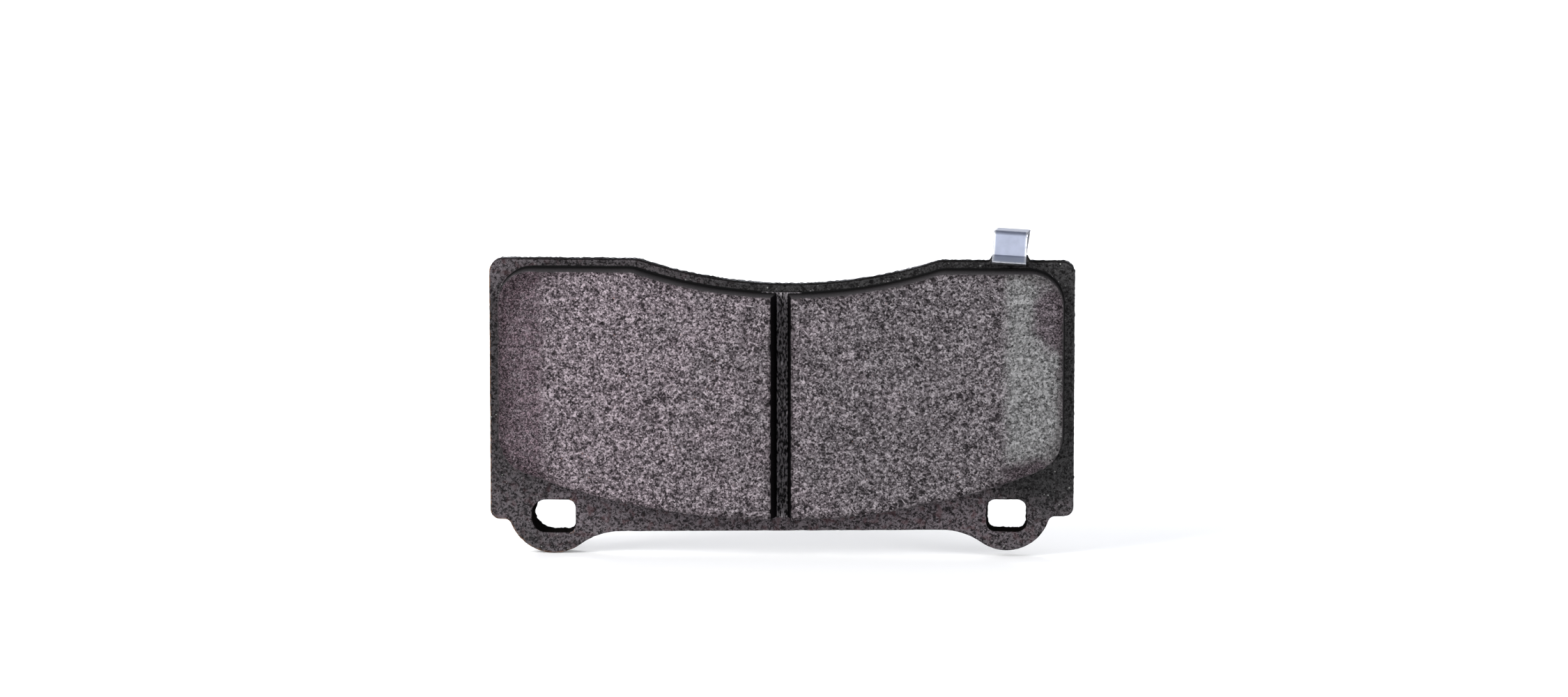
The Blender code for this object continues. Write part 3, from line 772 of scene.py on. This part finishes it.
def make_backing_plate():
    """Stamped steel plate: rolled front edges, torn rear edges, blasted and painted faces."""
    sizes = bpy.context.scene.pad_sizes
    node = "backing_plate"
    solid = solid_of(node)
    rims = sharp_edges(solid)
    near_rim = rim_tree(rims)
    round_edges(solid, rims, sizes.edge_round)
    cut_grid(solid, 1.15 * spacing(), uncovered_on_plate())
    near_mould = mould_rim()
    length = PLATE_HIGH.x - PLATE_LOW.x
    slot_right = PIN_SLOTS[0][1].x
    torn, wall, rust, crumbs = [], [], [], []
    for vertex in solid.verts:
        point, normal = vertex.co.copy(), vertex.normal.copy()
        on_wall = 1.0 - ramp(abs(normal.y), 0.25, 0.8)
        on_face = 1.0 - on_wall
        in_slot = within_slot(point)
        rear = near_rim.find(point)[2]

        # the rear half of each wall is torn, and its rear edge carries a burr
        depth = ramp(point.y, 0.42 * PLATE_HIGH.y, 0.6 * PLATE_HIGH.y) * on_wall
        streak = Vector((point.x, point.y * 0.3, point.z))
        tear = bumps(streak, 0.8 * MM, 3.0) + 0.6 * bumps(streak, 0.35 * MM, 5.0)
        burr = ramp(rear, 0.7 * MM, 0.1 * MM) * ramp(point.y, 0.8 * PLATE_HIGH.y, PLATE_HIGH.y)
        push = sizes.tear_depth * tear * (0.6 * depth + 0.7 * burr)
        push += 0.045 * MM * bumps(point, 0.9 * MM, 1.0) * (0.5 + 0.5 * on_face)
        push += 0.05 * MM * bumps(point, 3.5 * MM, 2.0)
        push -= 0.22 * MM * ramp(bumps(point, 1.3 * MM, 8.0), 0.35, 0.7) * ramp(rear, 1.0 * MM, 0)
        if in_slot:
            push += worn_slot_end(point, streak, depth) + 0.06 * MM * depth
        vertex.co = point + normal * push

        # bare metal shows on the top edge only, in patches; the upward faces there get most of it,
        # partly as painted light on the top that the lamps above catch
        upward = ramp(normal.z, 0.5, 0.9)
        top_bare_and_painted_light = upward * ramp(bumps(point, 9 * MM, 11.0), -0.25, 0.25)
        top_bare_and_painted_light *= ramp(PLATE_HIGH.z - point.z, 16 * MM, 9 * MM)
        bare = min(1.0, depth * (0.2 + 0.9 * top_bare_and_painted_light)) * ramp(tear, -0.5, 0.3)
        torn.append(0.0 if in_slot else bare)

        # walls are black, but less so at the plate's ends; the pin slots' walls are marked darkest, as
        # painted shade inside the slots
        outward = ramp(abs(point.x), 0.45 * length, 0.495 * length)
        wall.append(1.3 * on_wall if in_slot else on_wall * (1.0 - 0.6 * outward * (1 - depth)))

        # a line of rust on the front rim at the left end and at the left slot's right side
        on_rim = ramp(rear, 0.45 * MM, 0.2 * MM) * ramp(point.y, 1.2 * MM, 0.6 * MM)
        at_left = ramp(-point.x, 50 * MM, 54 * MM) * ramp(-normal.x - normal.z, 0.15, 0.5)
        at_slot = in_slot and abs(point.x - slot_right) < 0.6 * MM and abs(normal.z) < 0.3
        rust.append(on_rim * (1.0 if at_slot else 0.0 if in_slot else at_left))

        # crumbs of compound along the mould's rim, high up
        moulded = ramp(near_mould.find(point)[2], 0.65 * MM, 0.35 * MM)
        moulded *= ramp(point.z, 50 * MM, 56 * MM)
        crumbs.append(moulded * on_face * ramp(bumps(point, 6 * MM, 25.0), -0.4, 0.3))
    marks = {"torn": torn, "wall": wall, "rust": rust, "crumbs": crumbs}
    piece_of(solid, "plate", node, paint_finish(), marks)


def scattered(low, high, count, seed, smallest, largest):
    """A tree of random places in X and Z, with their radii; most are small."""
    draw = np.random.default_rng(seed)
    places = draw.uniform((low.x, low.z), (high.x, high.z), (count, 2))
    radii = smallest + (largest - smallest) * draw.random(count) ** 2.5
    tree = KDTree(count)
    for i, (x, z) in enumerate(places):
        tree.insert((x, 0.0, z), i)
    tree.balance()
    return tree, radii


def wear_on_left(point, edge, from_end, waver):
    """How dull, how glazed and how dirty the left block's face is at a point."""
    matt = ramp(from_end + waver, *DULL_LEFT)
    grime = 0.22 * ramp(from_end + waver, *GREY_LEFT) * (1 - matt)
    grime += ramp(edge + 1.5 * waver, 6.5 * MM, FULL_EDGE_GRIME) * ramp(from_end, 22 * MM, 12 * MM)
    at_corners = max(ramp(point.z, 50 * MM, 60 * MM), ramp(point.z, *CORNER_GRIME))
    grime += 0.8 * ramp(from_end + 2.5 * waver, *CORNER_GRIME) * at_corners
    return matt, 0.0, grime


def wear_on_right(point, edge, from_end, waver):
    """The same for the right block, whose lead-in is glazed except round a burnt spot."""
    inner = ramp(from_end + 0.6 * waver, *GLAZED_RIGHT)
    uneven = bumps(point, 6 * MM, 21.0) * 3 * MM + waver * 1.4
    outer = ramp(from_end + 0.5 * uneven, 2.6 * MM, 4.4 * MM)
    bottom = ramp(point.z + 0.6 * uneven, 14.5 * MM, 17.5 * MM)
    burnt = math.hypot((from_end - BURNT_DEPTH) / BURNT_HALF_WIDTH,
                       (point.z - BURNT_HEIGHT) / BURNT_HALF_HEIGHT)
    away = ramp(burnt + uneven / (12.5 * MM), 0.7, 1.2)
    patch = inner * outer * bottom * away
    matt = inner * (1 - patch) * 0.9
    grime = 0.38 * matt
    reach = 2.5 * MM + 5 * MM * ramp(point.z, 28 * MM, 18 * MM)
    grime += ramp(edge + 1.5 * waver, reach, FULL_EDGE_GRIME) * ramp(from_end, 25 * MM, 15 * MM)
    grime += 0.8 * ramp(from_end + 2.5 * waver, *CORNER_GRIME) * ramp(point.z, *CORNER_GRIME)
    return matt, patch, grime


def make_friction_block(node, name, side, seed, material):
    """Moulded compound block with a ground, pitted face and chipped edges."""
    sizes = bpy.context.scene.pad_sizes
    solid = solid_of(node)
    rims = sharp_edges(solid, 35.0)
    near_rim = rim_tree([e for e in rims if min(v.co.y for v in e.verts) < FACE_Y / 2])
    round_edges(solid, rims, sizes.edge_round)
    low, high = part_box(node)
    root = high.y - FIRM_ROOT
    cut_grid(solid, 0.9 * spacing(), lambda point: point.y < root)
    area = (high.x - low.x) * (high.z - low.z)
    pits, radii = scattered(low, high, int(area / (4.2 * MM) ** 2), seed, 0.4 * MM, 0.95 * MM)
    end = PLATE_HIGH.x if side > 0 else -PLATE_LOW.x
    wear = wear_on_right if side > 0 else wear_on_left
    ground, pit, dull, glaze, dirt, groove = [], [], [], [], [], []
    for vertex in solid.verts:
        point, normal = vertex.co.copy(), vertex.normal.copy()
        on_face = ramp(-normal.y, 0.55, 0.9)
        edge = near_rim.find(point)[2]

        # pits have ragged outlines, because the place is shaken before the nearest pit is found
        shake = Vector((bumps(point, 0.6 * MM), 0, bumps(point, 0.6 * MM, 9)))
        place = Vector((point.x, 0.0, point.z)) + 0.35 * MM * shake
        _, found, distance = pits.find(place)
        hole = ramp(distance / radii[found], 1.0, 0.45) * on_face
        chip = ramp(bumps(point, 1.5 * MM, seed), 0.12, 0.6) * ramp(edge, 1.1 * MM, 0.2 * MM)
        push = -sizes.pit_depth * hole * ramp(radii[found], 0.2 * MM, 0.9 * MM)
        push -= sizes.chip_depth * chip
        push += 0.05 * MM * bumps(point, 0.75 * MM, 4.0) * (0.35 + 0.65 * on_face)
        push += 0.05 * MM * bumps(point, 7 * MM, 6.0)
        if point.y < root:
            vertex.co = point + normal * push
        ground.append(on_face * (1.0 - 0.5 * chip))
        pit.append(hole * ramp(radii[found], 0.3 * MM, 0.6 * MM))
        # the walls facing into the groove, which the finish darkens as painted shade
        groove.append(ramp(-side * normal.x, 0.5, 0.8) * (1 - on_face))

        waver = 1.3 * MM * bumps(point, 3 * MM, 12.0) + 0.9 * MM * bumps(point, 1.1 * MM, 14.0)
        matt, patch, grime = wear(point, edge, end - side * point.x, waver)
        grime += 0.8 * ramp(edge + 0.3 * waver, 1.7 * MM, FULL_EDGE_GRIME)
        dull.append(on_face * matt)
        glaze.append(on_face * patch)
        dirt.append(on_face * min(1.0, grime))
    marks = {"ground": ground, "pit": pit, "dull": dull, "glaze": glaze, "dirt": dirt,
             "groove": groove}
    piece_of(solid, name, node, material, marks)


def make_underlayer():
    """Bonding layer under both blocks, grown to meet the plate and the blocks."""
    node = "underlayer"
    solid = solid_of(node)
    low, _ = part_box(node)
    block_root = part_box("friction_block_left")[1].y
    half_width = 5 * MM
    close = 0.02 * MM

    def shows(point):
        return abs(point.x - GROOVE_X) < half_width and point.y < low.y + 0.1 * MM

    cut_grid(solid, spacing(), shows)
    # wall is all but the groove's floor, which the finish paints near black as shade
    wall = [0.0 if shows(vertex.co) else 1.0 for vertex in solid.verts]
    for vertex in solid.verts:
        point = vertex.co
        if point.y < low.y + 0.1 * MM:
            uneven = 0.06 * MM * bumps(point, 0.8 * MM) if shows(point) else 0.0
            point.y = block_root + close + uneven
        elif point.y < PLATE_LOW.y:
            point.y = min(point.y + 0.25 * MM, -close)
    piece_of(solid, "bonding_layer", node, underlayer_finish(), {"wall": wall})


def make_wear_indicator():
    """Bent spring strip with rolled faces and sheared edges, with painted highlights along the edges.
    """
    node = "wear_indicator"
    solid = solid_of(node)
    long_edges = sharp_edges(solid, 50.0)
    near_edge = rim_tree(long_edges, 0.15 * MM)
    round_edges(solid, long_edges, 0.14 * MM)
    cut_grid(solid, 0.6 * spacing())
    leg_front = (PLATE_LOW.y + PLATE_HIGH.y) / 2
    edge, cut, foot = [], [], []
    for vertex in solid.verts:
        point, normal = vertex.co.copy(), vertex.normal.copy()
        distance = near_edge.find(point)[2]
        near = ramp(distance, 0.6 * MM, 0.3 * MM)
        ragged = 0.03 * MM * bumps(point, 0.5 * MM, 3.0) * near
        vertex.co = point + normal * (ragged + 0.02 * MM * bumps(point, 2.5 * MM, 5.0))
        side_wall = ramp(abs(normal.x), 0.35, 0.75)
        inside_leg = ramp(-normal.y, 0.2, 0.6) if point.y > leg_front else 0.0
        # edge: a band just inside each rounded edge, painted as a highlight
        edge.append(near * ramp(distance, 0.06 * MM, 0.14 * MM) * (1.0 - side_wall))
        # cut also covers the rear leg's face towards the front leg, darkened as painted shade
        cut.append(max(0.9 * side_wall, inside_leg))
        # foot: the foot's forward faces, made lighter by the finish as painted light
        foot.append(ramp(-point.y, 1.3 * MM, 1.8 * MM) * ramp(-normal.y, 0.1, 0.4))
    marks = {"edge": edge, "cut": cut, "foot": foot}
    piece_of(solid, "wear_strip", node, spring_finish(), marks)


def make_rivet(node, name, material):
    """Rivet whose head keeps a dimple and faint rings from the forming tool."""
    solid = solid_of(node)
    low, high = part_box(node)
    round_edges(solid, sharp_edges(solid, 40.0), 0.12 * MM)
    cut_grid(solid, 0.75 * spacing())
    centre_x, centre_z = (low.x + high.x) / 2, (low.z + high.z) / 2
    head = high.y - 0.5 * MM
    for vertex in solid.verts:
        point = vertex.co
        reach = math.hypot(point.x - centre_x, point.z - centre_z)
        if point.y > head:
            point.y -= 0.32 * MM * ramp(reach, 1.1 * MM, 0.4 * MM)
            point.y += 0.035 * MM * math.cos(reach / (0.14 * MM)) * ramp(reach, 3.0 * MM, 2.2 * MM)
        point += vertex.normal * 0.025 * MM * bumps(point, 0.7 * MM, 2.0)
    piece_of(solid, name, node, material)


def make_shim(node, name, material, rounding):
    """Thin pressed shim with softened edges and the slight waviness of sheet."""
    solid = solid_of(node)
    round_edges(solid, sharp_edges(solid, 40.0), rounding)
    cut_grid(solid, 3.0 * spacing())
    for vertex in solid.verts:
        point = vertex.co
        point.y += 0.05 * MM * bumps(Vector((point.x, 0, point.z)), 14 * MM, 7.0)
    piece_of(solid, name, node, material)


# ---------------------------------------------------------------- stage

def make_light(name, place, size, power):
    """A white softbox turned towards the pad."""
    lamp = bpy.data.lights.new(name, "AREA")
    lamp.shape = "RECTANGLE"
    lamp.size, lamp.size_y = size
    lamp.energy = power
    light = bpy.data.objects.new(name, lamp)
    light.location = place
    toward = Vector(LIGHT_TARGET) - Vector(place)
    light.rotation_euler = toward.to_track_quat("-Z", "Y").to_euler()
    bpy.context.scene.collection.objects.link(light)


def make_sky():
    """Soft light all round, whiter near the level than overhead."""
    world = bpy.data.worlds.new("studio")
    world.use_nodes = True
    sky = NodeTree(world.node_tree)
    direction = sky.node("ShaderNodeTexCoord", output="Generated")
    height = sky.node("ShaderNodeSeparateXYZ", None, {0: direction}, "Z")
    colour = sky.blend_of(height, [(0.0, (1.0, 1.0, 1.0)), (0.18, (0.95, 0.96, 0.98)),
                                   (0.5, (0.34, 0.35, 0.38)), (1.0, (0.22, 0.23, 0.26))])
    sky.fill(world.node_tree.nodes["Background"], {"Color": colour, "Strength": 1.3})
    bpy.context.scene.world = world


def make_floor(size):
    """A square floor under the ears, as one face."""
    mesh = bpy.data.meshes.new("studio_floor")
    half = size / 2
    z = CAD_BOX[0].z - FLOOR_GAP
    mesh.from_pydata([(-half, -half, z), (half, -half, z), (half, half, z), (-half, half, z)], [],
                     [(0, 1, 2, 3)])
    mesh.materials.append(floor_finish())
    floor = bpy.data.objects.new("studio_floor", mesh)
    bpy.context.scene.collection.objects.link(floor)


def make_camera(settings):
    """Camera in front, a little above and to the right, aimed a little over the plate's middle."""
    middle = Vector((0.0, 0.0, settings.height))
    azimuth, elevation = settings.azimuth, settings.elevation
    back = Vector((math.sin(azimuth) * math.cos(elevation),
                   -math.cos(azimuth) * math.cos(elevation), math.sin(elevation)))
    right = Vector((math.cos(azimuth), math.sin(azimuth), 0.0))
    above = right.cross(-back)
    aim = middle + right * AIM_RIGHT + above * AIM_ABOVE
    lens = bpy.data.cameras.new("camera")
    lens.lens = settings.focal_length
    lens.sensor_width = 36.0
    lens.clip_start, lens.clip_end = 0.05, 50.0
    camera = bpy.data.objects.new("camera", lens)
    camera.location = middle + back * settings.distance
    camera.rotation_euler = (aim - camera.location).to_track_quat("-Z", "Y").to_euler()
    bpy.context.scene.collection.objects.link(camera)
    bpy.context.scene.camera = camera


def make_stage():
    """Floor, sky, softboxes and camera."""
    settings = bpy.context.scene.pad_stage
    bpy.context.scene.view_settings.view_transform = "Standard"
    make_sky()
    make_floor(settings.floor_size)
    for name, place, size, power in SOFTBOXES:
        make_light(name, place, size, power)
    make_camera(settings)


# ---------------------------------------------------------------- operators and panel

class PieceOperator:
    """Options that the operators share."""

    bl_options = {"REGISTER", "UNDO"}


class PAD_OT_backing_plate(PieceOperator, bpy.types.Operator):
    """Make the painted steel plate"""

    bl_idname = "brake_pad.backing_plate"
    bl_label = "Backing Plate"

    def execute(self, context):
        make_backing_plate()
        return {"FINISHED"}


class PAD_OT_friction_blocks(PieceOperator, bpy.types.Operator):
    """Make the two blocks of friction compound"""

    bl_idname = "brake_pad.friction_blocks"
    bl_label = "Friction Blocks"

    def execute(self, context):
        material = compound_finish()
        make_friction_block("friction_block_left", "compound_left", -1, 31, material)
        make_friction_block("friction_block_right", "compound_right", 1, 47, material)
        return {"FINISHED"}


class PAD_OT_underlayer(PieceOperator, bpy.types.Operator):
    """Make the bonding layer between the compound and the plate"""

    bl_idname = "brake_pad.underlayer"
    bl_label = "Bonding Layer"

    def execute(self, context):
        make_underlayer()
        return {"FINISHED"}


class PAD_OT_wear_indicator(PieceOperator, bpy.types.Operator):
    """Make the bent spring strip of the wear indicator"""

    bl_idname = "brake_pad.wear_indicator"
    bl_label = "Wear Indicator"

    def execute(self, context):
        make_wear_indicator()
        return {"FINISHED"}


class PAD_OT_rivets(PieceOperator, bpy.types.Operator):
    """Make the rivets of the shims and of the wear indicator"""

    bl_idname = "brake_pad.rivets"
    bl_label = "Rivets"

    def execute(self, context):
        material = zinc_finish()
        make_rivet("shim_rivet_left", "rivet_left", material)
        make_rivet("shim_rivet_right", "rivet_right", material)
        make_rivet("wear_indicator_rivet", "rivet_strip", material)
        return {"FINISHED"}


class PAD_OT_shims(PieceOperator, bpy.types.Operator):
    """Make the rubber-coated and the stainless shim on the back"""

    bl_idname = "brake_pad.shims"
    bl_label = "Shims"

    def execute(self, context):
        make_shim("inner_shim", "shim_rubber", rubber_finish(), 0.1 * MM)
        make_shim("outer_shim", "shim_steel", stainless_finish(), 0.12 * MM)
        return {"FINISHED"}


class PAD_OT_stage(PieceOperator, bpy.types.Operator):
    """Set up the floor, the light and the camera"""

    bl_idname = "brake_pad.stage"
    bl_label = "Stage"

    def execute(self, context):
        make_stage()
        return {"FINISHED"}


OPERATORS = (PAD_OT_backing_plate, PAD_OT_friction_blocks, PAD_OT_underlayer,
             PAD_OT_wear_indicator, PAD_OT_rivets, PAD_OT_shims, PAD_OT_stage)


class PAD_PT_sidebar(bpy.types.Panel):
    """Lists the pad's operators and settings in the sidebar"""

    bl_label = "Brake Pad"
    bl_space_type = "VIEW_3D"
    bl_region_type = "UI"
    bl_category = "Brake Pad"

    def draw(self, context):
        for operator in OPERATORS:
            self.layout.operator(operator.bl_idname)
        for group in (context.scene.pad_sizes, context.scene.pad_colours, context.scene.pad_stage):
            box = self.layout.box()
            for name in type(group).__annotations__:
                box.prop(group, name)


CLASSES = (PadSizes, PadColours, StageSettings, *OPERATORS, PAD_PT_sidebar)


def register():
    for made in CLASSES:
        bpy.utils.register_class(made)
    bpy.types.Scene.pad_sizes = PointerProperty(type=PadSizes)
    bpy.types.Scene.pad_colours = PointerProperty(type=PadColours)
    bpy.types.Scene.pad_stage = PointerProperty(type=StageSettings)


def unregister():
    del bpy.types.Scene.pad_stage
    del bpy.types.Scene.pad_colours
    del bpy.types.Scene.pad_sizes
    for made in reversed(CLASSES):
        bpy.utils.unregister_class(made)


def main():
    register()
    for step in ("backing_plate", "friction_blocks", "underlayer", "wear_indicator", "rivets",
                 "shims", "stage"):
        getattr(bpy.ops.brake_pad, step)()


if __name__ == "__main__":
    main()
